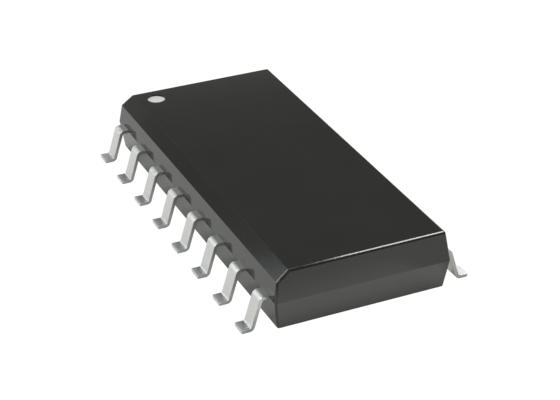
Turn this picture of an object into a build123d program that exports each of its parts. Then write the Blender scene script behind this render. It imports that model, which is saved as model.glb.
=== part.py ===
from build123d import *
from functools import cache
import math
import os

# Small-outline package: two rows of gull-wing leads along a moulded body,
# with the chip, its leadframe and its bond wires sealed inside.
# Millimetres, +Z up. The origin is the middle of the footprint on the seating plane.
# X runs from one row of leads to the other, and Y runs along the body.
# Lead 1 is at -X +Y, and the numbers go on anticlockwise seen from above.

# Moulded body
leads_per_side = 8
lead_pitch = 1.27
end_margin = 0.53  # from the middle of the last lead to the end of the body
body_width = 4.40  # at the parting line
stand_off = 0.06  # underside above the seating plane
lower_half = 0.73  # underside to parting line
upper_half = 0.73  # parting line to top face
mould_draft = 8.0  # degrees, on every side of both halves
corner_radius = 0.04  # the body's upright corners
top_edge_radius = 0.035
bottom_edge_radius = 0.035
bevel_width = 0.27  # bevel along the top edge over leads 1 to 8
bevel_drop = 0.24

# Round recess at lead 1 with the mark on its floor, and the ejector prints underneath
mark_diameter = 0.47
mark_depth = 0.05
mark_draft = 12.0  # degrees
mark_inset_x = 0.865  # from the body's side to the middle of the mark
mark_inset_y = 0.595  # from the body's end to the middle of the mark
ink_thickness = 0.01
ejector_diameter = 0.90
ejector_depth = 0.03
ejector_spacing = 6.20

# Leads outside the body, formed from flat strip
lead_width = 0.40
lead_thickness = 0.085
shoulder_length = 0.11  # flat stretch between the body and the upper bend
bend_radius = 0.05  # inside radius of both bends
shank_angle = 73.0  # degrees from the seating plane
foot_length = 0.19  # flat stretch between the lower bend and the tip

# Leadframe inside the body
anchor_inset = 0.12  # from the body's side to the anchor
anchor_length = 0.20
anchor_width = 0.56  # wider stretch that locks a lead in the compound
finger_root = 0.50  # from the body's side to the finger's elbow
finger_width = 0.26
finger_gap = 0.20  # between the fingers' tips and the paddle, seen from above
paddle_margin = 0.25  # paddle past the chip's edge
paddle_downset = 0.20  # paddle below the leads
tie_bar_width = 0.30
tie_bar_slope = 30.0  # degrees, where the tie bar drops to the paddle
tie_bar_lead_in = 0.15  # flat stretch between the paddle and that slope
tie_bar_cover = 0.15  # compound over the tie bar's end
tie_bar_gap = 0.24  # between a tie bar and the nearest finger

# Chip, its adhesive and its bond wires
chip_length = 3.00
chip_width = 1.90
chip_thickness = 0.28
attach_thickness = 0.02
pad_inset = 0.10  # from the chip's edge to the middle of a bond pad
pad_stop = 0.25  # from the chip's middle line to the nearest pad on its short side
wire_diameter = 0.025
wire_sides = 6  # the fine wire is drawn with flats
ball_diameter = 0.065
ball_height = 0.015
loop_height = 0.14  # top of the loop above the ball
loop_shoulder = 0.05  # rise and run of the wire's first bend
loop_crown = 0.11  # level stretch that carries the wire past the chip's edge
landing_length = 0.09  # crushed end of the wire on the finger
landing_width = 0.05
landing_thickness = 0.012
landing_setback = 0.10  # from the finger's tip to the middle of the landing

# Levels and lengths that follow
row_end = (leads_per_side - 1) * lead_pitch / 2
body_length = 2 * (row_end + end_margin)
parting_height = stand_off + lower_half
body_top = parting_height + upper_half
finger_top = parting_height + lead_thickness / 2
paddle_level = parting_height - paddle_downset
paddle_top = paddle_level + lead_thickness / 2
chip_bottom = paddle_top + attach_thickness
chip_top = chip_bottom + chip_thickness
paddle_width = chip_width + 2 * paddle_margin
paddle_length = chip_length + 2 * paddle_margin
root_x = body_width / 2 - finger_root
runs_along = 0.95  # share of an edge's direction that makes it run along an axis


def row_place(number):
    # Distance of a lead's middle from the middle of its row.
    steps = number - 1 if number <= leads_per_side else 2 * leads_per_side - number
    return lead_pitch * ((leads_per_side - 1) / 2 - steps)


def in_quarter(quarter_piece, number):
    # Leads and wires are made once for the +X +Y quarter and mirrored into the others.
    piece = quarter_piece(abs(row_place(number)))
    if row_place(number) < 0:
        piece = mirror(piece, about=Plane.XZ)
    if number <= leads_per_side:
        piece = mirror(piece, about=Plane.YZ)
    return piece


def corner_spot(side_x, end_y, stop_x, row_y):
    # Spreads the row along a path from the middle of a long side,
    # round the corner and back to stop_x on the short side.
    travel = row_y / row_end * (end_y + side_x - stop_x)
    if travel < end_y:
        return Vector(side_x, travel)
    return Vector(side_x + end_y - travel, end_y)


def finger_tip(row_y):
    side_x = paddle_width / 2 + finger_gap
    end_y = paddle_length / 2 + finger_gap
    stop_x = tie_bar_width / 2 + tie_bar_gap
    return corner_spot(side_x, end_y, stop_x, row_y)


def bond_pad(row_y):
    side_x = chip_width / 2 - pad_inset
    end_y = chip_length / 2 - pad_inset
    return corner_spot(side_x, end_y, pad_stop, row_y)


def drafted_block(height):
    # Stands on the parting plane and narrows towards its top.
    outline = Plane.XY.offset(parting_height) * Rectangle(body_width, body_length)
    return extrude(outline, amount=height, taper=mould_draft)


def round_uprights(block):
    uprights = [edge for edge in block.edges() if abs(edge.tangent_at().Z) > runs_along]
    return fillet(uprights, corner_radius)


def upper_mould():
    block = drafted_block(upper_half)
    top_face = block.faces().sort_by(Axis.Z)[-1]
    bevelled = top_face.edges().filter_by(Axis.Y).sort_by(Axis.X)[0]
    down_the_side = bevel_drop / math.cos(math.radians(mould_draft))
    block = chamfer(bevelled, length=bevel_width, length2=down_the_side, reference=top_face)
    block = round_uprights(block)
    rim = []
    for edge in block.edges():
        above_parting = edge.bounding_box().min.Z > parting_height
        along_bevel = abs(edge.tangent_at().Y) > runs_along and edge.center().X < 0
        if above_parting and not along_bevel:
            rim.append(edge)
    return fillet(rim, top_edge_radius)


def lower_mould():
    block = round_uprights(drafted_block(lower_half))
    block = fillet(block.faces().sort_by(Axis.Z)[-1].edges(), bottom_edge_radius)
    return mirror(block, about=Plane.XY.offset(parting_height))


def mark_plane(height):
    middle = (mark_inset_x - body_width / 2, body_length / 2 - mark_inset_y, height)
    return Plane(origin=middle)


def mark_recess():
    return extrude(mark_plane(body_top) * Circle(mark_diameter / 2), amount=-mark_depth, taper=mark_draft)


def pin_1_mark():
    # Ink that covers the recess's floor from wall to wall.
    floor_radius = mark_diameter / 2 - mark_depth * math.tan(math.radians(mark_draft))
    floor = mark_plane(body_top - mark_depth) * Circle(floor_radius)
    return extrude(floor, amount=ink_thickness, taper=-mark_draft)


def ejector_prints():
    prints = []
    for side in (-1, 1):
        spot = Plane(origin=(0, side * ejector_spacing / 2, stand_off))
        prints.append(extrude(spot * Circle(ejector_diameter / 2), amount=ejector_depth))
    return prints


def formed_strip(row_y):
    # Side profile of the strip, bent at the shoulder and again at the foot.
    turn = math.radians(shank_angle)
    middle_radius = bend_radius + lead_thickness / 2
    tangent = middle_radius * math.tan(turn / 2)
    foot_level = lead_thickness / 2
    start_x = body_width / 2 - anchor_inset - anchor_length
    knee_x = body_width / 2 + shoulder_length + tangent
    heel_x = knee_x + (parting_height - foot_level) / math.tan(turn)
    tip_x = heel_x + tangent + foot_length
    start = (start_x, parting_height)
    knee = (knee_x, parting_height)
    heel = (heel_x, foot_level)
    tip = (tip_x, foot_level)
    centre_line = FilletPolyline(start, knee, heel, tip, radius=middle_radius)
    profile = Plane.XZ.offset(-row_y) * trace(centre_line, lead_thickness)
    return extrude(profile, amount=lead_width / 2, both=True)


def inner_finger(row_y):
    # Flat inner end of a lead: an anchor near the body's side, then a bent finger.
    anchor_x = body_width / 2 - anchor_inset - anchor_length / 2
    anchor = Pos(anchor_x, row_y) * Rectangle(anchor_length, anchor_width)
    finger_line = Polyline((anchor_x, row_y), (root_x, row_y), finger_tip(row_y))
    plan = anchor + trace(finger_line, finger_width)
    return extrude(Plane.XY.offset(parting_height) * plan, amount=lead_thickness / 2, both=True)


@cache
def quarter_lead(row_y):
    return formed_strip(row_y) + inner_finger(row_y)


def tie_bar():
    # Runs from the paddle's end up to the leads' level and on towards the body's end.
    slope_run = paddle_downset / math.tan(math.radians(tie_bar_slope))
    slope_start = paddle_length / 2 + tie_bar_lead_in
    inner = (0, paddle_level)
    low = (slope_start, paddle_level)
    high = (slope_start + slope_run, parting_height)
    outer = (body_length / 2 - tie_bar_cover, parting_height)
    profile = Plane.YZ * trace(Polyline(inner, low, high, outer), lead_thickness)
    return extrude(profile, amount=tie_bar_width / 2, both=True)


def die_paddle():
    plan = Plane.XY.offset(paddle_level) * Rectangle(paddle_width, paddle_length)
    plate = extrude(plan, amount=lead_thickness / 2, both=True)
    return plate + tie_bar() + mirror(tie_bar(), about=Plane.XZ)


def slab(width, length, bottom, thickness):
    return extrude(Plane.XY.offset(bottom) * Rectangle(width, length), amount=thickness)


@cache
def quarter_wire(row_y):
    # Ball on the pad, a loop over the chip's edge, and a crushed landing on the finger.
    pad = bond_pad(row_y)
    tip = finger_tip(row_y)
    elbow = Vector(root_x, row_y)
    landing = tip + (elbow - tip).normalized() * landing_setback
    along = (landing - pad).normalized()
    across = along.cross(Vector(0, 0, 1))
    ball_top = chip_top + ball_height
    crown = ball_top + loop_height
    start = (0, ball_top)
    neck = (0, crown - loop_shoulder)
    shoulder = (loop_shoulder, crown)
    brow = (loop_shoulder + loop_crown, crown)
    end = ((landing - pad).length, finger_top)
    loop_plane = Plane(origin=(pad.X, pad.Y, 0), x_dir=along, z_dir=across)
    centre_line = loop_plane * Polyline(start, neck, shoulder, brow, end)
    section = Plane(origin=centre_line @ 0, x_dir=along, z_dir=centre_line % 0)
    outline = section * RegularPolygon(wire_diameter / 2, wire_sides)
    wire = sweep(outline, path=centre_line, transition=Transition.RIGHT)
    wire = split(wire, bisect_by=Plane.XY.offset(finger_top), keep=Keep.TOP)
    ball_place = Plane(origin=(pad.X, pad.Y, chip_top), x_dir=along)
    ball = extrude(ball_place * RegularPolygon(ball_diameter / 2, 2 * wire_sides), amount=ball_height)
    foot_place = Plane(origin=(landing.X, landing.Y, finger_top), x_dir=along)
    foot = extrude(foot_place * Rectangle(landing_length, landing_width), amount=landing_thickness)
    return wire + ball + foot


pieces = {}
for number in range(1, 2 * leads_per_side + 1):
    pieces[f"lead_{number:02d}"] = in_quarter(quarter_lead, number)
pieces["die_paddle"] = die_paddle()
pieces["die_attach"] = slab(chip_width, chip_length, paddle_top, attach_thickness)
pieces["silicon_die"] = slab(chip_width, chip_length, chip_bottom, chip_thickness)
for number in range(1, 2 * leads_per_side + 1):
    pieces[f"bond_wire_{number:02d}"] = in_quarter(quarter_wire, number)

mould = upper_mould() + lower_mould()
mould = mould - mark_recess() - ejector_prints() - list(pieces.values())
pieces["mould_body"] = mould
pieces["pin_1_mark"] = pin_1_mark()

os.makedirs("parts", exist_ok=True)
for name, piece in pieces.items():
    export_step(piece, f"parts/{name}.step")
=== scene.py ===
import math

import bmesh
import bpy
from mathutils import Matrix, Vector


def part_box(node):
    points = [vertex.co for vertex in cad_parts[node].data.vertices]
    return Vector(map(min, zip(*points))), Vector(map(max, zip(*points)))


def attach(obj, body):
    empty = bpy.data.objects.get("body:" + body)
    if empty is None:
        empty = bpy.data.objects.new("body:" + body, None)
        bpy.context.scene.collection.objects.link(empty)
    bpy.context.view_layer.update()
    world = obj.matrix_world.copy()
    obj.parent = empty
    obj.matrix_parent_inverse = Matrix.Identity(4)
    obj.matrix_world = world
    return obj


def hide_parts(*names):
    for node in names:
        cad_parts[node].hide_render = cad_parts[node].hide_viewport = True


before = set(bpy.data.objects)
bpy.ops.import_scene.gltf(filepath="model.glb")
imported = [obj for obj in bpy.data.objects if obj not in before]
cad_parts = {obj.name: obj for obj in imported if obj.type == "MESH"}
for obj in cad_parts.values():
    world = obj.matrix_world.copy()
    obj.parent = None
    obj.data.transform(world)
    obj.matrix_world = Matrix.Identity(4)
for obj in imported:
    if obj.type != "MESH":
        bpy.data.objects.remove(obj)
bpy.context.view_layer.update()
print("frame loaded,", len(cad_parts), "nodes")

# The pieces are modelled in millimetres, which suits Blender's own tolerances,
# and each is shrunk to metres when it is finished.
metresPerUnit = 0.001
mergeGap = 0.0001
placeSlack = 0.001  # how near a place something counts as at it
alongAxis = 0.9  # the share of an axis in a normal or heading that points along it
smoothAngle = 30  # degrees between faces that are shaded as one surface


def boxOf(node):
    low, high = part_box(node)
    return Vector(low) / metresPerUnit, Vector(high) / metresPerUnit


bodyLow, bodyHigh = boxOf("mould_body")
markLow, markHigh = boxOf("pin_1_mark")
markMiddle = (markLow + markHigh) / 2
leadTop = boxOf("lead_09")[1].z
dieHigh = boxOf("silicon_die")[1]
paddleHigh = boxOf("die_paddle")[1]


# Modelling helpers

def deselectAll():
    bpy.ops.object.select_all(action="DESELECT")


def selectOnly(piece):
    deselectAll()
    piece.select_set(True)
    bpy.context.view_layer.objects.active = piece


def openPiece(piece):
    selectOnly(piece)
    bpy.ops.object.mode_set(mode="EDIT")


def closePiece():
    bpy.ops.object.mode_set(mode="OBJECT")


def applyPlace():
    bpy.ops.object.transform_apply(location=True, rotation=True, scale=True)


def pick(piece, kind, test):
    # Selects the faces or edges that pass the test, and nothing else.
    bpy.ops.mesh.select_mode(type=kind)
    bpy.ops.mesh.select_all(action="DESELECT")
    mesh = bmesh.from_edit_mesh(piece.data)
    mesh.normal_update()
    parts = mesh.faces if kind == "FACE" else mesh.edges
    for part in parts:
        part.select_set(test(part))
    mesh.select_flush_mode()
    bmesh.update_edit_mesh(piece.data)


def middle(edge):
    return (edge.verts[0].co + edge.verts[1].co) / 2


def heading(edge):
    return (edge.verts[1].co - edge.verts[0].co).normalized()


def isSharp(edge, degrees):
    return edge.is_manifold and edge.calc_face_angle(0) > math.radians(degrees)


def extrudeBy(step):
    bpy.ops.mesh.extrude_region_move(TRANSFORM_OT_translate={"value": tuple(step)})


def tidyMesh():
    bpy.ops.mesh.select_all(action="SELECT")
    bpy.ops.mesh.remove_doubles(threshold=mergeGap)
    bpy.ops.mesh.normals_make_consistent(inside=False)


def applyModifier(piece, kind, **settings):
    modifier = piece.modifiers.new(kind.title(), kind)
    for name, value in settings.items():
        setattr(modifier, name, value)
    bpy.context.view_layer.objects.active = piece
    bpy.ops.object.modifier_apply(modifier=modifier.name)


def cutAway(piece, cutter):
    applyModifier(piece, "BOOLEAN", operation="DIFFERENCE", solver="EXACT", object=cutter)
    bpy.data.objects.remove(cutter)


def smoothPiece(piece, degrees=smoothAngle):
    selectOnly(piece)
    bpy.ops.object.shade_smooth_by_angle(angle=math.radians(degrees))
    applyModifier(piece, "WEIGHTED_NORMAL", keep_sharp=True, weight=100)


def copyPiece(piece):
    copied = piece.copy()
    copied.data = piece.data.copy()
    bpy.context.collection.objects.link(copied)
    return copied


def copyTurned(piece):
    # The same piece for the other row, half a turn round the part's middle.
    copied = copyPiece(piece)
    copied.rotation_euler.z = math.pi
    return copied


def finishPiece(piece, material, node):
    selectOnly(piece)
    piece.scale = (metresPerUnit, metresPerUnit, metresPerUnit)
    applyPlace()
    piece.data.materials.clear()
    piece.data.materials.append(material)
    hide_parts(node)
    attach(piece, "root")


# Material helpers

def startMaterial(name):
    material = bpy.data.materials.new(name)
    material.use_nodes = True
    return material, material.node_tree


def feedNode(tree, node, inputs):
    # A value that is another node's output is linked, and any other is set.
    for name, value in inputs.items():
        if hasattr(value, "is_output"):
            tree.links.new(value, node.inputs[name])
        else:
            node.inputs[name].default_value = value


def feedShader(tree, inputs):
    feedNode(tree, tree.nodes["Principled BSDF"], inputs)


def addNode(tree, kind, inputs=None, **settings):
    node = tree.nodes.new(kind)
    for name, value in settings.items():
        setattr(node, name, value)
    feedNode(tree, node, inputs or {})
    return node


def calculate(tree, operation, first, second=0.0):
    return addNode(tree, "ShaderNodeMath", {0: first, 1: second}, operation=operation).outputs[0]


def ramp(tree, value, zeroAt, oneAt):
    node = addNode(tree, "ShaderNodeMapRange", {"Value": value, "From Min": zeroAt, "From Max": oneAt})
    return node.outputs["Result"]


def spreadValue(tree, mask, low, high):
    node = addNode(tree, "ShaderNodeMapRange", {"Value": mask, "To Min": low, "To Max": high})
    return node.outputs["Result"]


def mixColours(tree, mask, below, above):
    # Each colour is three numbers or another node's output. The Mix node's colours are
    # its inputs 6 and 7, and the mixed colour is its output 2.
    node = addNode(tree, "ShaderNodeMix", {"Factor": mask}, data_type="RGBA")
    for socket, colour in ((6, below), (7, above)):
        feedNode(tree, node, {socket: colour if hasattr(colour, "is_output") else (*colour, 1)})
    return node.outputs[2]


def splitAxes(tree, vector):
    return addNode(tree, "ShaderNodeSeparateXYZ", {"Vector": vector}).outputs


def placeInMetres(tree):
    return addNode(tree, "ShaderNodeTexCoord").outputs["Object"]


def placeInMillimetres(tree):
    scaled = addNode(tree, "ShaderNodeVectorMath", {0: placeInMetres(tree), "Scale": 1 / metresPerUnit},
                     operation="SCALE")
    return scaled.outputs[0]


def addBump(tree, height, depth, below=None):
    # Depth is in millimetres.
    node = addNode(tree, "ShaderNodeBump", {"Height": height, "Distance": depth * metresPerUnit})
    if below is not None:
        tree.links.new(below, node.inputs["Normal"])
    return node.outputs["Normal"]


def newMaskGroup(name, inputs):
    # A number gives a Float input, and three numbers a Vector input. The output is a mask.
    tree = bpy.data.node_groups.new(name, "ShaderNodeTree")
    for socketName, value in inputs.items():
        kind = "NodeSocketVector" if isinstance(value, tuple) else "NodeSocketFloat"
        socket = tree.interface.new_socket(name=socketName, in_out="INPUT", socket_type=kind)
        socket.default_value = value
    tree.interface.new_socket(name="Mask", in_out="OUTPUT", socket_type="NodeSocketFloat")
    return tree, tree.nodes.new("NodeGroupInput").outputs, tree.nodes.new("NodeGroupOutput")


def makeGrainGroup():
    # Soft noise, stretched along any axis and spread to 0..1.
    inputs = {"Per mm": 10.0, "Detail": 2.0, "Stretch": (1.0, 1.0, 1.0), "Contrast": 0.2}
    tree, given, out = newMaskGroup("grainPattern", inputs)
    stretched = addNode(tree, "ShaderNodeVectorMath", {0: placeInMillimetres(tree), 1: given["Stretch"]},
                        operation="MULTIPLY")
    noise = addNode(tree, "ShaderNodeTexNoise", {
        "Vector": stretched.outputs[0],
        "Scale": given["Per mm"],
        "Detail": given["Detail"],
    })
    low = calculate(tree, "SUBTRACT", 0.5, given["Contrast"])
    high = calculate(tree, "ADD", 0.5, given["Contrast"])
    feedNode(tree, out, {"Mask": ramp(tree, noise.outputs["Fac"], low, high)})
    return tree


def makeFleckGroup():
    # Small round flecks: Size is a fleck's share of its cell.
    inputs = {"Per mm": 20.0, "Size": 0.3, "Softness": 0.1}
    tree, given, out = newMaskGroup("fleckPattern", inputs)
    cells = addNode(tree, "ShaderNodeTexVoronoi", {
        "Vector": placeInMillimetres(tree),
        "Scale": given["Per mm"],
    })
    edge = calculate(tree, "ADD", given["Size"], given["Softness"])
    feedNode(tree, out, {"Mask": ramp(tree, cells.outputs["Distance"], edge, given["Size"])})
    return tree


grainGroup = makeGrainGroup()
fleckGroup = makeFleckGroup()


def placeGroup(tree, group, values):
    return addNode(tree, "ShaderNodeGroup", values, node_tree=group).outputs["Mask"]


# Moulded body

mouldLook = {
    "dark": (0.0225, 0.0225, 0.0215),
    "light": (0.0265, 0.0265, 0.0250),
    "filler": (0.042, 0.042, 0.040),
    "clouds": {"Per mm": 0.7, "Detail": 3.0, "Contrast": 0.25},
    "grain": {"Per mm": 28.0, "Detail": 4.0, "Contrast": 0.25},
    "coarseFiller": {"Per mm": 26.0, "Size": 0.05, "Softness": 0.2},
    "fineFiller": {"Per mm": 61.0, "Size": 0.1, "Softness": 0.25},
    "roughness": (0.06, 0.10),
    "bump": 0.0002,
    "ior": 1.55,
}


def makeMouldCompound():
    # Black compound with a little of its pale filler showing.
    material, tree = startMaterial("mouldCompound")
    clouds = placeGroup(tree, grainGroup, mouldLook["clouds"])
    grain = placeGroup(tree, grainGroup, mouldLook["grain"])
    coarse = placeGroup(tree, fleckGroup, mouldLook["coarseFiller"])
    fine = placeGroup(tree, fleckGroup, mouldLook["fineFiller"])
    filler = calculate(tree, "MAXIMUM", calculate(tree, "MULTIPLY", coarse, grain), fine)
    black = mixColours(tree, clouds, mouldLook["dark"], mouldLook["light"])
    feedShader(tree, {
        "Base Color": mixColours(tree, filler, black, mouldLook["filler"]),
        "Roughness": spreadValue(tree, grain, *mouldLook["roughness"]),
        "IOR": mouldLook["ior"],
        "Normal": addBump(tree, grain, mouldLook["bump"]),
    })
    return material


mouldShape = {
    "draft": 8.0,  # degrees, on every side of both halves
    "bevelWidth": 0.27,
    "bevelDrop": 0.24,
    "outerEdge": 0.060,  # the upright corners and the top rim
    "bottomEdge": 0.032,
    "bevelEdge": 0.003,
    "partingEdge": 0.004,
    "recessDiameter": 0.47,
    "recessDepth": 0.05,
    "recessDraft": 12.0,
    "recessEdge": 0.007,
    "ejectorDiameter": 0.90,
    "ejectorDepth": 0.03,
    "ejectorSpacing": 6.20,
    "cutterOver": 0.05,  # how far a cutter stands proud of the face
    "circleSteps": 72,
    "roundSteps": 6,
    "bottomSteps": 4,
    "fineSteps": 2,
    # degrees between the two faces at an edge of each kind
    "rimAngle": 20,
    "cornerAngle": 40,
    "printAngle": 60,
    # how the edges to round are told apart
    "overParting": 0.1,  # an upper rim lies more than this over the parting line
    "alongBevel": 0.95,  # the share of Y in the heading of an edge along the bevel
    "rimSlack": 0.01,
}


def narrowFace(level, height):
    # Draws the picked face in by the mould's draft over that height.
    size = bodyHigh - bodyLow
    inset = 2 * height * math.tan(math.radians(mouldShape["draft"]))
    bpy.ops.transform.resize(value=(1 - inset / size.x, 1 - inset / size.y, 1),
                             center_override=(0, 0, level))


def roundEdges(piece, test, offset, steps):
    pick(piece, "EDGE", test)
    bpy.ops.mesh.bevel(offset=offset, offset_type="OFFSET", segments=steps, profile=0.5,
                       affect="EDGES", clamp_overlap=False)


def roundCutter(x, y, low, high, lowRadius, highRadius):
    deselectAll()
    bpy.ops.mesh.primitive_cone_add(vertices=mouldShape["circleSteps"], radius1=lowRadius, radius2=highRadius,
                                    depth=high - low, location=(x, y, (low + high) / 2))
    return bpy.context.object


def cutBevel():
    # One long slice along the top edge over the first row of leads.
    draft = math.tan(math.radians(mouldShape["draft"]))
    topX = bodyLow.x + (bodyHigh.z - partingHeight) * draft + mouldShape["bevelWidth"]
    lowZ = bodyHigh.z - mouldShape["bevelDrop"]
    lowX = bodyLow.x + (lowZ - partingHeight) * draft
    slope = Vector((lowX - topX, 0, lowZ - bodyHigh.z))
    outward = Vector((0, 1, 0)).cross(slope)
    bpy.ops.mesh.select_all(action="SELECT")
    bpy.ops.mesh.bisect(plane_co=(topX, 0, bodyHigh.z), plane_no=outward, use_fill=True,
                        clear_outer=True, threshold=mergeGap)


def isUpright(edge):
    return abs(heading(edge).z) > alongAxis and isSharp(edge, mouldShape["cornerAngle"])


def isUpperRim(edge):
    lowest = min(vert.co.z for vert in edge.verts)
    return lowest > partingHeight + mouldShape["overParting"] and isSharp(edge, mouldShape["rimAngle"])


def alongBevel(edge):
    return abs(heading(edge).y) > mouldShape["alongBevel"] and middle(edge).x < bodyLow.x / 2


def isOuterEdge(edge):
    return isUpright(edge) or (isUpperRim(edge) and not alongBevel(edge))


def isBevelEdge(edge):
    return isUpperRim(edge) and alongBevel(edge)


def isBottomRim(edge):
    highest = max(vert.co.z for vert in edge.verts)
    return highest < bodyLow.z + mouldShape["rimSlack"] and isSharp(edge, mouldShape["rimAngle"])


def isParting(edge):
    return all(abs(vert.co.z - partingHeight) < placeSlack for vert in edge.verts)


def isRecessRim(edge):
    onTop = all(vert.co.z > bodyHigh.z - placeSlack for vert in edge.verts)
    centre = Vector((markMiddle.x, markMiddle.y, bodyHigh.z))
    reach = mouldShape["recessDiameter"] / 2 + mouldShape["rimSlack"]
    return onTop and (middle(edge) - centre).length < reach and isSharp(edge, mouldShape["cornerAngle"])


def isPrintRim(edge):
    below = all(vert.co.z < bodyLow.z + placeSlack for vert in edge.verts)
    inside = abs(middle(edge).x) < mouldShape["ejectorDiameter"]
    return below and inside and isSharp(edge, mouldShape["printAngle"])


def makeBlock():
    # Two drafted halves that meet at the parting line, with the bevel cut and the outer edges rounded.
    size = bodyHigh - bodyLow
    upperHalf = bodyHigh.z - partingHeight
    lowerHalf = partingHeight - bodyLow.z
    deselectAll()
    bpy.ops.mesh.primitive_cube_add(size=1, location=(0, 0, partingHeight + upperHalf / 2),
                                    scale=(size.x, size.y, upperHalf))
    body = bpy.context.object
    body.name = "mouldedBody"
    applyPlace()
    openPiece(body)
    pick(body, "FACE", lambda face: face.normal.z > alongAxis)
    narrowFace(bodyHigh.z, upperHalf)
    pick(body, "FACE", lambda face: face.normal.z < -alongAxis)
    extrudeBy((0, 0, -lowerHalf))
    narrowFace(bodyLow.z, lowerHalf)
    cutBevel()
    roundEdges(body, isOuterEdge, mouldShape["outerEdge"], mouldShape["roundSteps"])
    roundEdges(body, isBottomRim, mouldShape["bottomEdge"], mouldShape["bottomSteps"])
    roundEdges(body, isBevelEdge, mouldShape["bevelEdge"], mouldShape["fineSteps"])
    roundEdges(body, isParting, mouldShape["partingEdge"], mouldShape["fineSteps"])
    tidyMesh()
    closePiece()
    return body


def cutRecess(body):
    # The drafted recess at pin 1.
    over = mouldShape["cutterOver"]
    rimRadius = mouldShape["recessDiameter"] / 2
    narrowing = math.tan(math.radians(mouldShape["recessDraft"]))
    floorRadius = rimRadius - mouldShape["recessDepth"] * narrowing
    cutAway(body, roundCutter(markMiddle.x, markMiddle.y, bodyHigh.z - mouldShape["recessDepth"],
                              bodyHigh.z + over, floorRadius, rimRadius + over * narrowing))


def cutPrints(body):
    # The two ejector prints underneath.
    radius = mouldShape["ejectorDiameter"] / 2
    start = bodyLow.z - mouldShape["cutterOver"]
    end = bodyLow.z + mouldShape["ejectorDepth"]
    for side in (-1, 1):
        cutAway(body, roundCutter(0, side * mouldShape["ejectorSpacing"] / 2, start, end, radius, radius))


def makeBody(material):
    body = makeBlock()
    cutRecess(body)
    cutPrints(body)
    openPiece(body)
    roundEdges(body, isRecessRim, mouldShape["recessEdge"], mouldShape["fineSteps"])
    roundEdges(body, isPrintRim, mouldShape["recessEdge"], mouldShape["fineSteps"])
    tidyMesh()
    closePiece()
    smoothPiece(body)
    finishPiece(body, material, "mould_body")


# Pin 1 mark

inkLook = {
    "dark": (0.665, 0.665, 0.655),
    "light": (0.75, 0.75, 0.74),
    "pigment": {"Per mm": 24.0, "Detail": 3.0, "Contrast": 0.2},
    "roughness": (0.45, 0.6),
    "bump": 0.0006,
}


def makeWhiteInk():
    material, tree = startMaterial("whiteInk")
    pigment = placeGroup(tree, grainGroup, inkLook["pigment"])
    feedShader(tree, {
        "Base Color": mixColours(tree, pigment, inkLook["dark"], inkLook["light"]),
        "Roughness": spreadValue(tree, pigment, *inkLook["roughness"]),
        "Normal": addBump(tree, pigment, inkLook["bump"]),
    })
    return material


markShape = {
    "steps": 48,
    "ring": 0.03,
    "dish": 0.002,
}


def makeMark(material):
    # A skin of ink that fills the recess's floor and dishes a little towards its middle.
    thickness = markHigh.z - markLow.z
    topRadius = (markHigh.x - markLow.x) / 2
    floorRadius = topRadius - thickness * math.tan(math.radians(mouldShape["recessDraft"]))
    growth = topRadius / floorRadius
    deselectAll()
    bpy.ops.mesh.primitive_circle_add(vertices=markShape["steps"], radius=floorRadius,
                                      fill_type="NGON", location=(markMiddle.x, markMiddle.y, markLow.z))
    mark = bpy.context.object
    mark.name = "pinMark"
    applyPlace()
    openPiece(mark)
    bpy.ops.mesh.select_all(action="SELECT")
    extrudeBy((0, 0, thickness))
    bpy.ops.transform.resize(value=(growth, growth, 1),
                             center_override=(markMiddle.x, markMiddle.y, markHigh.z))
    bpy.ops.mesh.inset(thickness=markShape["ring"])
    bpy.ops.mesh.inset(thickness=markShape["ring"], depth=-markShape["dish"])
    tidyMesh()
    closePiece()
    smoothPiece(mark)
    finishPiece(mark, material, "pin_1_mark")


# Leads

leadShape = {
    "perSide": 8,
    "pitch": 1.27,
    "width": 0.40,
    "thickness": 0.085,
    "shoulder": 0.11,
    "bendRadius": 0.05,
    "shankAngle": 73.0,
    "foot": 0.19,
    "anchorInset": 0.12,
    "anchorLength": 0.20,
    "anchorWidth": 0.56,
    "fingerRoot": 0.50,
    "fingerWidth": 0.26,
    "fingerGap": 0.20,
    "tieBarGap": 0.39,
    "edge": 0.008,
    "edgeAngle": 50,
    "edgeSteps": 2,
    "bendSteps": 8,
}
partingHeight = leadTop - leadShape["thickness"] / 2  # the body's halves meet at the leads' middle
middleStep = (leadShape["perSide"] - 1) / 2
rowEnd = middleStep * leadShape["pitch"]
rowPlaces = [(step - middleStep) * leadShape["pitch"] for step in range(leadShape["perSide"])]

tinLook = {
    "dark": (0.655, 0.655, 0.645),
    "light": (0.715, 0.715, 0.705),
    "copperDark": (0.62, 0.30, 0.17),
    "copperLight": (0.74, 0.38, 0.22),
    # The sides' darker grey is painted shade, not a finish of their own.
    "sideShadeDark": (0.42, 0.42, 0.41),
    "sideShadeLight": (0.52, 0.52, 0.51),
    "sideShadeFacing": (0.55, 0.8),  # how far a side faces along Y, for the painted shade on the sides
    "plateStart": bodyHigh.x - leadShape["anchorInset"],
    "streaks": {"Per mm": 30.0, "Detail": 3.0, "Stretch": (0.05, 1.0, 0.05), "Contrast": 0.25},
    "grain": {"Per mm": 60.0, "Detail": 2.0, "Contrast": 0.25},
    "roughness": (0.32, 0.39),
    "streakBump": 0.0004,
    "grainBump": 0.0003,
}


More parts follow.
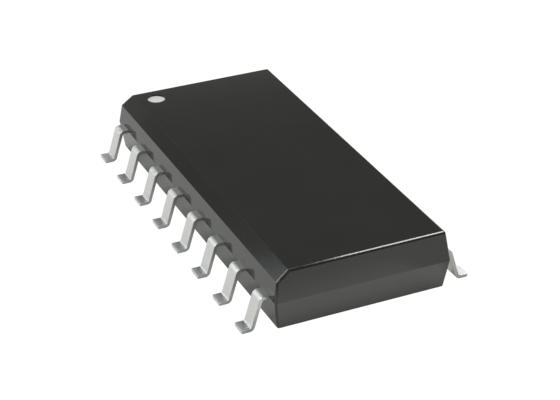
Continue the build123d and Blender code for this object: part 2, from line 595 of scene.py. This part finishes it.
def makeTinnedLead():
    # Matt tin outside the body, with painted shade on the sides that face along Y, and bare copper alloy
    # inside it.
    material, tree = startMaterial("tinnedLead")
    streaks = placeGroup(tree, grainGroup, tinLook["streaks"])
    grain = placeGroup(tree, grainGroup, tinLook["grain"])
    place = splitAxes(tree, placeInMetres(tree))
    fromMiddle = calculate(tree, "ABSOLUTE", place["X"])
    plated = calculate(tree, "GREATER_THAN", fromMiddle, tinLook["plateStart"] * metresPerUnit)
    facing = splitAxes(tree, addNode(tree, "ShaderNodeTexCoord").outputs["Normal"])
    sideways = calculate(tree, "ABSOLUTE", facing["Y"])
    # Faces that point along Y get the darker grey as painted shade.
    paintedSideShade = ramp(tree, sideways, *tinLook["sideShadeFacing"])
    tin = mixColours(tree, streaks, tinLook["dark"], tinLook["light"])
    shadedSideColour = mixColours(tree, grain, tinLook["sideShadeDark"], tinLook["sideShadeLight"])
    copper = mixColours(tree, streaks, tinLook["copperDark"], tinLook["copperLight"])
    streakBump = addBump(tree, streaks, tinLook["streakBump"])
    feedShader(tree, {
        "Base Color": mixColours(tree, plated, copper, mixColours(tree, paintedSideShade, tin, shadedSideColour)),
        "Metallic": 1.0,
        "Roughness": spreadValue(tree, streaks, *tinLook["roughness"]),
        "Normal": addBump(tree, grain, tinLook["grainBump"], below=streakBump),
    })
    return material


def makeStrip():
    # The strip as stamped and formed, with its middle on the X axis and no finger yet.
    bodySide = bodyHigh.x
    thickness = leadShape["thickness"]
    bendMiddle = leadShape["bendRadius"] + thickness / 2
    turn = math.radians(leadShape["shankAngle"])
    drop = partingHeight - thickness / 2
    shankLength = drop / math.sin(turn) - 2 * bendMiddle * math.tan(turn / 2)
    rootX = bodySide - leadShape["fingerRoot"]
    anchorX = bodySide - leadShape["anchorInset"] - leadShape["anchorLength"]
    anchorEnd = anchorX + leadShape["anchorLength"]
    bendX = bodySide + leadShape["shoulder"]
    heelX = bendX + 2 * bendMiddle * math.sin(turn) + shankLength * math.cos(turn)
    deselectAll()
    bpy.ops.mesh.primitive_plane_add(size=1, location=(rootX, 0, partingHeight),
                                     rotation=(0, math.pi / 2, 0))
    strip = bpy.context.object
    strip.scale = (thickness, leadShape["fingerWidth"], 1)
    applyPlace()
    openPiece(strip)
    bpy.ops.mesh.select_all(action="SELECT")
    extrudeBy((anchorX - rootX, 0, 0))
    extrudeBy((leadShape["anchorLength"], 0, 0))
    extrudeBy((bendX - anchorEnd, 0, 0))
    bpy.ops.mesh.spin(steps=leadShape["bendSteps"], angle=-turn, axis=(0, 1, 0),
                      center=(bendX, 0, partingHeight - bendMiddle))
    extrudeBy((shankLength * math.cos(turn), 0, -shankLength * math.sin(turn)))
    bpy.ops.mesh.spin(steps=leadShape["bendSteps"], angle=turn, axis=(0, 1, 0),
                      center=(heelX, 0, thickness / 2 + bendMiddle))
    extrudeBy((leadShape["foot"], 0, 0))
    tidyMesh()
    # The anchor and all that lies outside it are wider than the finger.
    for side in (-1, 1):
        step = (leadShape["width"] - leadShape["fingerWidth"]) / 2
        pick(strip, "FACE", lambda face: face.normal.y * side > alongAxis
             and face.calc_center_median().x > anchorX)
        extrudeBy((0, side * step, 0))
        step = (leadShape["anchorWidth"] - leadShape["width"]) / 2
        pick(strip, "FACE", lambda face: face.normal.y * side > alongAxis
             and anchorX < face.calc_center_median().x < anchorEnd)
        extrudeBy((0, side * step, 0))
    tidyMesh()
    closePiece()
    return strip


def roundTheCorner(sideX, endY, stopX, rowY):
    # Spreads a row from the middle of a long side, round the corner and back along the short side.
    travel = abs(rowY) / rowEnd * (endY + sideX - stopX)
    x = sideX - max(travel - endY, 0)
    return Vector((x, math.copysign(min(travel, endY), rowY), 0))


def fingerTip(rowY):
    margin = paddleHigh.x - dieHigh.x + leadShape["fingerGap"]
    return roundTheCorner(dieHigh.x + margin, dieHigh.y + margin, leadShape["tieBarGap"], rowY)


def fingerElbow(rowY):
    return Vector((bodyHigh.x - leadShape["fingerRoot"], rowY, 0))


def turnFace(angle, centre):
    # Anticlockwise seen from above. With no window, the operator itself turns the other way.
    bpy.ops.transform.rotate(value=-angle, orient_axis="Z", orient_type="GLOBAL", center_override=centre)


def widenFace(factor, angle, centre):
    # Stretches the picked face across its own width, which lies at that angle to Y.
    turnFace(-angle, centre)
    bpy.ops.transform.resize(value=(1, factor, 1), center_override=centre)
    turnFace(angle, centre)


def growFinger(lead, rowY):
    # Turns the strip's inner end towards its tip, with a mitred elbow.
    elbow = fingerElbow(rowY)
    reach = fingerTip(rowY) - elbow
    turn = math.atan2(reach.y, -reach.x)
    centre = (elbow.x, elbow.y, partingHeight)
    end = (elbow.x + reach.x, elbow.y + reach.y, partingHeight)
    openPiece(lead)
    pick(lead, "FACE", lambda face: face.normal.x < -alongAxis
         and face.calc_center_median().x < elbow.x + placeSlack)
    turnFace(-turn / 2, centre)
    widenFace(1 / math.cos(turn / 2), -turn / 2, centre)
    extrudeBy(reach)
    widenFace(math.cos(turn / 2), -turn / 2, end)
    turnFace(-turn / 2, end)
    tidyMesh()
    closePiece()


def makeLeads(material):
    # Leads 9 to 16 are made from the strip, and each is copied to the other row.
    strip = makeStrip()
    for number, rowY in enumerate(rowPlaces, start=1):
        right = copyPiece(strip)
        right.location.y = rowY
        selectOnly(right)
        applyPlace()
        growFinger(right, rowY)
        applyModifier(right, "BEVEL", width=leadShape["edge"], segments=leadShape["edgeSteps"],
                      limit_method="ANGLE", angle_limit=math.radians(leadShape["edgeAngle"]))
        smoothPiece(right)
        left = copyTurned(right)
        for lead, label in ((right, f"{leadShape['perSide'] + number:02d}"), (left, f"{number:02d}")):
            lead.name = f"tinnedLead.{label}"
            finishPiece(lead, material, f"lead_{label}")
    bpy.data.objects.remove(strip)


# Bond wires

goldLook = {
    "dark": (0.83, 0.58, 0.22),
    "light": (0.95, 0.72, 0.32),
    "drawn": {"Per mm": 90.0, "Detail": 2.0, "Contrast": 0.25},
    "roughness": (0.15, 0.3),
    "bump": 0.0001,
}


def makeGoldWire():
    material, tree = startMaterial("goldWire")
    drawn = placeGroup(tree, grainGroup, goldLook["drawn"])
    feedShader(tree, {
        "Base Color": mixColours(tree, drawn, goldLook["dark"], goldLook["light"]),
        "Metallic": 1.0,
        "Roughness": spreadValue(tree, drawn, *goldLook["roughness"]),
        "Normal": addBump(tree, drawn, goldLook["bump"]),
    })
    return material


wireShape = {
    "radius": 0.0125,
    "sides": 12,
    "padInset": 0.10,
    "padStop": 0.25,
    "ballRadius": 0.0325,
    "ballHeight": 0.015,
    "ballEdge": 0.004,
    "ballSteps": 2,
    "loopHeight": 0.14,
    "shoulder": 0.05,
    "crown": 0.11,
    "heelRadius": 0.04,
    "landingLength": 0.09,
    "landingWidth": 0.05,
    "landingThickness": 0.012,
    "landingSetback": 0.10,
    "bendSteps": 6,
    "level": 0.1,  # the share of Z in the heading of the ball's rim edges stays below this
    "facingUp": 0.99,  # the share of Z in the normal of its flat top
    "smoothAngle": 50,
}


def bondPad(rowY):
    inset = wireShape["padInset"]
    return roundTheCorner(dieHigh.x - inset, dieHigh.y - inset, wireShape["padStop"], rowY)


def makeBall(ballTop):
    # The ball, left open for editing with a ring of the wire's own radius picked on its top.
    deselectAll()
    bpy.ops.mesh.primitive_cylinder_add(vertices=wireShape["sides"], radius=wireShape["ballRadius"],
                                        depth=wireShape["ballHeight"],
                                        location=(0, 0, ballTop - wireShape["ballHeight"] / 2))
    ball = bpy.context.object
    applyPlace()
    openPiece(ball)
    pick(ball, "EDGE", lambda edge: abs(heading(edge).z) < wireShape["level"])
    bpy.ops.mesh.bevel(offset=wireShape["ballEdge"], segments=wireShape["ballSteps"], affect="EDGES")
    pick(ball, "FACE", lambda face: face.normal.z > wireShape["facingUp"])
    bpy.ops.mesh.inset(thickness=wireShape["ballRadius"] - wireShape["ballEdge"] - wireShape["radius"])
    return ball


def makeWire(rowY):
    # One length of wire: ball on the pad, loop, and a crushed landing on the finger.
    pad = bondPad(rowY)
    tip = fingerTip(rowY)
    landing = tip + (fingerElbow(rowY) - tip).normalized() * wireShape["landingSetback"]
    ballTop = dieHigh.z + wireShape["ballHeight"]
    crown = ballTop + wireShape["loopHeight"]
    shoulder = wireShape["shoulder"]
    browX = shoulder + wireShape["crown"]
    heelX = (landing - pad).length - wireShape["landingLength"] / 2
    heelZ = leadTop + wireShape["radius"]
    landingZ = leadTop + wireShape["landingThickness"] / 2
    crush = wireShape["heelRadius"] / 2  # the wire is pressed flat over this length
    slope = math.atan2(crown - heelZ, heelX - browX)
    tangent = math.tan(slope / 2)
    straight = math.hypot(crown - heelZ, heelX - browX) - (shoulder + wireShape["heelRadius"]) * tangent
    steps = wireShape["bendSteps"]
    wire = makeBall(ballTop)
    extrudeBy((0, 0, crown - shoulder - ballTop))
    bpy.ops.mesh.spin(steps=steps, angle=-math.pi / 2, axis=(0, 1, 0), center=(shoulder, 0, crown - shoulder))
    extrudeBy((wireShape["crown"] - shoulder * tangent, 0, 0))
    bpy.ops.mesh.spin(steps=steps, angle=-slope, axis=(0, 1, 0),
                      center=(browX - shoulder * tangent, 0, crown - shoulder))
    extrudeBy((straight * math.cos(slope), 0, -straight * math.sin(slope)))
    bpy.ops.mesh.spin(steps=steps, angle=slope, axis=(0, 1, 0),
                      center=(heelX + wireShape["heelRadius"] * tangent, 0, heelZ + wireShape["heelRadius"]))
    extrudeBy((crush, 0, landingZ - heelZ))
    flatten = (1, wireShape["landingWidth"] / 2 / wireShape["radius"],
               wireShape["landingThickness"] / 2 / wireShape["radius"])
    bpy.ops.transform.resize(value=flatten, center_override=(heelX, 0, landingZ))
    extrudeBy((wireShape["landingLength"] - wireShape["heelRadius"] * tangent - crush, 0, 0))
    tidyMesh()
    closePiece()
    wire.location = (pad.x, pad.y, 0)
    wire.rotation_euler.z = math.atan2(landing.y - pad.y, landing.x - pad.x)
    applyPlace()
    smoothPiece(wire, wireShape["smoothAngle"])
    return wire


def makeWires(material):
    for number, rowY in enumerate(rowPlaces, start=1):
        right = makeWire(rowY)
        left = copyTurned(right)
        for wire, label in ((right, f"{leadShape['perSide'] + number:02d}"), (left, f"{number:02d}")):
            wire.name = f"bondWire.{label}"
            finishPiece(wire, material, f"bond_wire_{label}")


# Pieces sealed inside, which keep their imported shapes

paddleLook = {
    "dark": (0.60, 0.29, 0.16),
    "light": (0.76, 0.40, 0.24),
    "streaks": {"Per mm": 18.0, "Detail": 3.0, "Stretch": (1.0, 0.06, 1.0), "Contrast": 0.25},
    "grain": {"Per mm": 45.0, "Detail": 2.0, "Contrast": 0.25},
    "roughness": (0.25, 0.4),
    "streakBump": 0.0006,
    "grainBump": 0.0004,
}


def makeCopperAlloy():
    material, tree = startMaterial("copperAlloy")
    streaks = placeGroup(tree, grainGroup, paddleLook["streaks"])
    grain = placeGroup(tree, grainGroup, paddleLook["grain"])
    streakBump = addBump(tree, streaks, paddleLook["streakBump"])
    feedShader(tree, {
        "Base Color": mixColours(tree, streaks, paddleLook["dark"], paddleLook["light"]),
        "Metallic": 1.0,
        "Roughness": spreadValue(tree, streaks, *paddleLook["roughness"]),
        "Normal": addBump(tree, grain, paddleLook["grainBump"], below=streakBump),
    })
    return material


adhesiveLook = {
    "dark": (0.30, 0.30, 0.29),
    "light": (0.62, 0.62, 0.60),
    "flakes": {"Per mm": 60.0, "Size": 0.3, "Softness": 0.15},
    "swirl": {"Per mm": 6.0, "Detail": 4.0, "Contrast": 0.2},
    "metallic": (0.3, 0.9),
    "roughness": (0.35, 0.6),
    "bump": 0.0008,
}


def makeAdhesive():
    # Resin filled with silver flakes.
    material, tree = startMaterial("silverAdhesive")
    flakes = placeGroup(tree, fleckGroup, adhesiveLook["flakes"])
    swirl = placeGroup(tree, grainGroup, adhesiveLook["swirl"])
    feedShader(tree, {
        "Base Color": mixColours(tree, flakes, adhesiveLook["dark"], adhesiveLook["light"]),
        "Metallic": spreadValue(tree, flakes, *adhesiveLook["metallic"]),
        "Roughness": spreadValue(tree, swirl, *adhesiveLook["roughness"]),
        "Normal": addBump(tree, flakes, adhesiveLook["bump"]),
    })
    return material


dieLook = {
    "dark": (0.10, 0.12, 0.16),
    "light": (0.22, 0.25, 0.31),
    "circuitDark": (0.34, 0.30, 0.36),
    "circuitLight": (0.55, 0.52, 0.50),
    "blocks": {
        "Color1": (0.2, 0.2, 0.2, 1),
        "Color2": (0.9, 0.9, 0.9, 1),
        "Mortar": (0.0, 0.0, 0.0, 1),
        "Scale": 2.6,
        "Mortar Size": 0.02,
    },
    "rowScale": 18.0,
    "circuitDepth": 0.002,
    "sawn": {"Per mm": 30.0, "Detail": 3.0, "Stretch": (1.0, 1.0, 0.1), "Contrast": 0.25},
    "metallic": 0.6,
    "roughness": (0.12, 0.3),
    "bump": 0.0005,
}


def makeSilicon():
    # Polished silicon with blocks of circuitry on its top face.
    material, tree = startMaterial("silicon")
    place = placeInMillimetres(tree)
    blocks = addNode(tree, "ShaderNodeTexBrick", {"Vector": place, **dieLook["blocks"]})
    rows = addNode(tree, "ShaderNodeTexWave", {"Vector": place, "Scale": dieLook["rowScale"]},
                   bands_direction="Y")
    fine = calculate(tree, "MULTIPLY", blocks.outputs["Color"], rows.outputs["Fac"])
    height = splitAxes(tree, place)["Z"]
    onTop = calculate(tree, "GREATER_THAN", height, dieHigh.z - dieLook["circuitDepth"])
    sawn = placeGroup(tree, grainGroup, dieLook["sawn"])
    plain = mixColours(tree, sawn, dieLook["dark"], dieLook["light"])
    circuit = mixColours(tree, fine, dieLook["circuitDark"], dieLook["circuitLight"])
    feedShader(tree, {
        "Base Color": mixColours(tree, onTop, plain, circuit),
        "Metallic": dieLook["metallic"],
        "Roughness": spreadValue(tree, sawn, *dieLook["roughness"]),
        "Normal": addBump(tree, fine, dieLook["bump"]),
    })
    return material


def dressInside():
    finishes = {
        "die_paddle": makeCopperAlloy(),
        "die_attach": makeAdhesive(),
        "silicon_die": makeSilicon(),
    }
    for name, material in finishes.items():
        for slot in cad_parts[name].material_slots:
            slot.material = material


makeBody(makeMouldCompound())
print("body modelled")
makeMark(makeWhiteInk())
print("mark modelled")
makeLeads(makeTinnedLead())
print("leads modelled")
makeWires(makeGoldWire())
print("bond wires modelled")
dressInside()
print("inner pieces dressed")


# Studio, in metres

# The body mirrors the floor, so the floor glows a little, and a painted pool of light makes it glow more
# before the front end.
# Each pair of pool values is where it has faded out and where it is full.
studio = {
    "floorSize": 1.2,
    "floorColour": (0.75, 0.75, 0.75),
    "floorRoughness": 0.9,
    "floorSeen": 1.05,
    "glow": (0.170, 0.176, 0.152),
    "paintedPoolLight": (0.73, 0.74, 0.70),
    "poolNear": (-0.0046, -0.0053),
    "poolFar": (-0.0088, -0.0062),
    "poolSide": (0.0025, 0.0021),
    "poolMiddle": 0.0002,
    "sky": (0.109, 0.111, 0.103),
    "lampDistance": 0.3,
}
# Soft boxes: where each stands, how wide and tall it looks in degrees, and how bright it is.
# The rounded front edge mirrors the two arch lamps, and the far end of the top the horizon and haze.
lamps = {
    "key": {"azimuth": -105, "elevation": 62, "width": 50, "height": 30, "bright": (0.80, 0.80, 0.80)},
    "archBack": {"azimuth": 46.8, "elevation": 50.0, "width": 25, "height": 6.5, "turn": -54.3,
                 "bright": (11.0, 11.0, 11.0)},
    "archTop": {"azimuth": 13.0, "elevation": 63.1, "width": 25, "height": 6.5, "turn": -14.5,
                "bright": (12.0, 12.0, 12.0)},
    "leftStrip": {"azimuth": 173, "elevation": 48, "width": 75, "height": 7, "bright": (8.5, 8.5, 8.5)},
    "left": {"azimuth": 138.5, "elevation": 19, "width": 33.5, "height": 38, "bright": (1.21, 1.26, 1.33)},
    "backFill": {"azimuth": 97, "elevation": 28, "width": 18, "height": 26, "bright": (0.74, 0.77, 0.77)},
    "backRight": {"azimuth": 37, "elevation": 20, "width": 26, "height": 34, "bright": (0.60, 0.60, 0.60)},
    "highBack": {"azimuth": 104, "elevation": 52, "width": 62, "height": 18, "bright": (0.49, 0.52, 0.57)},
    "lowBack": {"azimuth": 104, "elevation": 6, "width": 34, "height": 12, "bright": (0.46, 0.43, 0.41)},
    "horizon": {"azimuth": 86, "elevation": 15.2, "width": 54.6, "height": 21.3, "turn": -0.5,
                "bright": (0.22, 0.22, 0.22)},
    "haze": {"azimuth": 70, "elevation": 16.6, "width": 26, "height": 20, "bright": (0.02, 0.02, 0.02)},
}
# The target and the distance are in millimetres.
cameraPlace = {
    "azimuth": -24.717,
    "elevation": 29.171,
    "roll": -0.186,
    "distance": 39.527,
    "target": (-0.4485, -1.4302, 1.1981),
    "lens": 107.04,
    "nearest": 0.001,
    "furthest": 10,
}


def makeFloor():
    deselectAll()
    bpy.ops.mesh.primitive_plane_add(size=studio["floorSize"])
    floor = bpy.context.object
    floor.name = "paleFloor"
    material, tree = startMaterial("paleFloor")
    place = splitAxes(tree, placeInMetres(tree))
    fromMiddle = calculate(tree, "SUBTRACT", place["X"], studio["poolMiddle"])
    beside = ramp(tree, calculate(tree, "ABSOLUTE", fromMiddle), *studio["poolSide"])
    near = ramp(tree, place["Y"], *studio["poolNear"])
    far = ramp(tree, place["Y"], *studio["poolFar"])
    # A painted pool of light on the floor, brighter before the body's front end.
    paintedPool = calculate(tree, "MULTIPLY", calculate(tree, "MULTIPLY", near, far), beside)
    feedShader(tree, {
        "Base Color": (*studio["floorColour"], 1),
        "Roughness": studio["floorRoughness"],
        "Specular IOR Level": 0.0,
        "Emission Color": mixColours(tree, paintedPool, studio["glow"], studio["paintedPoolLight"]),
        "Emission Strength": 1.0,
    })
    # The camera itself sees an even pale floor.
    seen = addNode(tree, "ShaderNodeEmission", {"Color": (1, 1, 1, 1), "Strength": studio["floorSeen"]})
    path = addNode(tree, "ShaderNodeLightPath")
    mix = addNode(tree, "ShaderNodeMixShader", {
        0: path.outputs["Is Camera Ray"],
        1: tree.nodes["Principled BSDF"].outputs[0],
        2: seen.outputs[0],
    })
    tree.links.new(mix.outputs[0], tree.nodes["Material Output"].inputs["Surface"])
    floor.data.materials.append(material)


def makeSky():
    world = bpy.data.worlds.new("studio")
    bpy.context.scene.world = world
    world.use_nodes = True
    world.node_tree.nodes["Background"].inputs["Color"].default_value = (*studio["sky"], 1)


def addLamps():
    reach = studio["lampDistance"]
    for name, lamp in lamps.items():
        azimuth = math.radians(lamp["azimuth"])
        elevation = math.radians(lamp["elevation"])
        outward = Vector((math.cos(azimuth) * math.cos(elevation), math.sin(azimuth) * math.cos(elevation),
                          math.sin(elevation)))
        bpy.ops.object.light_add(type="AREA", location=outward * reach,
                                 rotation=outward.to_track_quat("Z", "Y").to_euler())
        light = bpy.context.object
        light.name = name
        light.rotation_euler.rotate_axis("Z", math.radians(lamp.get("turn", 0)))
        light.visible_camera = False
        light.data.shape = "RECTANGLE"
        light.data.size = 2 * reach * math.tan(math.radians(lamp["width"] / 2))
        light.data.size_y = 2 * reach * math.tan(math.radians(lamp["height"] / 2))
        light.data.color = lamp["bright"]
        light.data.energy = math.pi * light.data.size * light.data.size_y


def addCamera():
    azimuth = math.radians(cameraPlace["azimuth"])
    elevation = math.radians(cameraPlace["elevation"])
    back = Vector((math.sin(azimuth) * math.cos(elevation), -math.cos(azimuth) * math.cos(elevation),
                   math.sin(elevation)))
    place = (Vector(cameraPlace["target"]) + back * cameraPlace["distance"]) * metresPerUnit
    bpy.ops.object.camera_add(location=place, rotation=back.to_track_quat("Z", "Y").to_euler())
    camera = bpy.context.object
    camera.rotation_euler.rotate_axis("Z", math.radians(cameraPlace["roll"]))
    camera.data.lens = cameraPlace["lens"]
    camera.data.clip_start = cameraPlace["nearest"]
    camera.data.clip_end = cameraPlace["furthest"]
    bpy.context.scene.camera = camera


makeFloor()
makeSky()
addLamps()
addCamera()
bpy.context.scene.view_settings.view_transform = "Standard"
print("studio set")
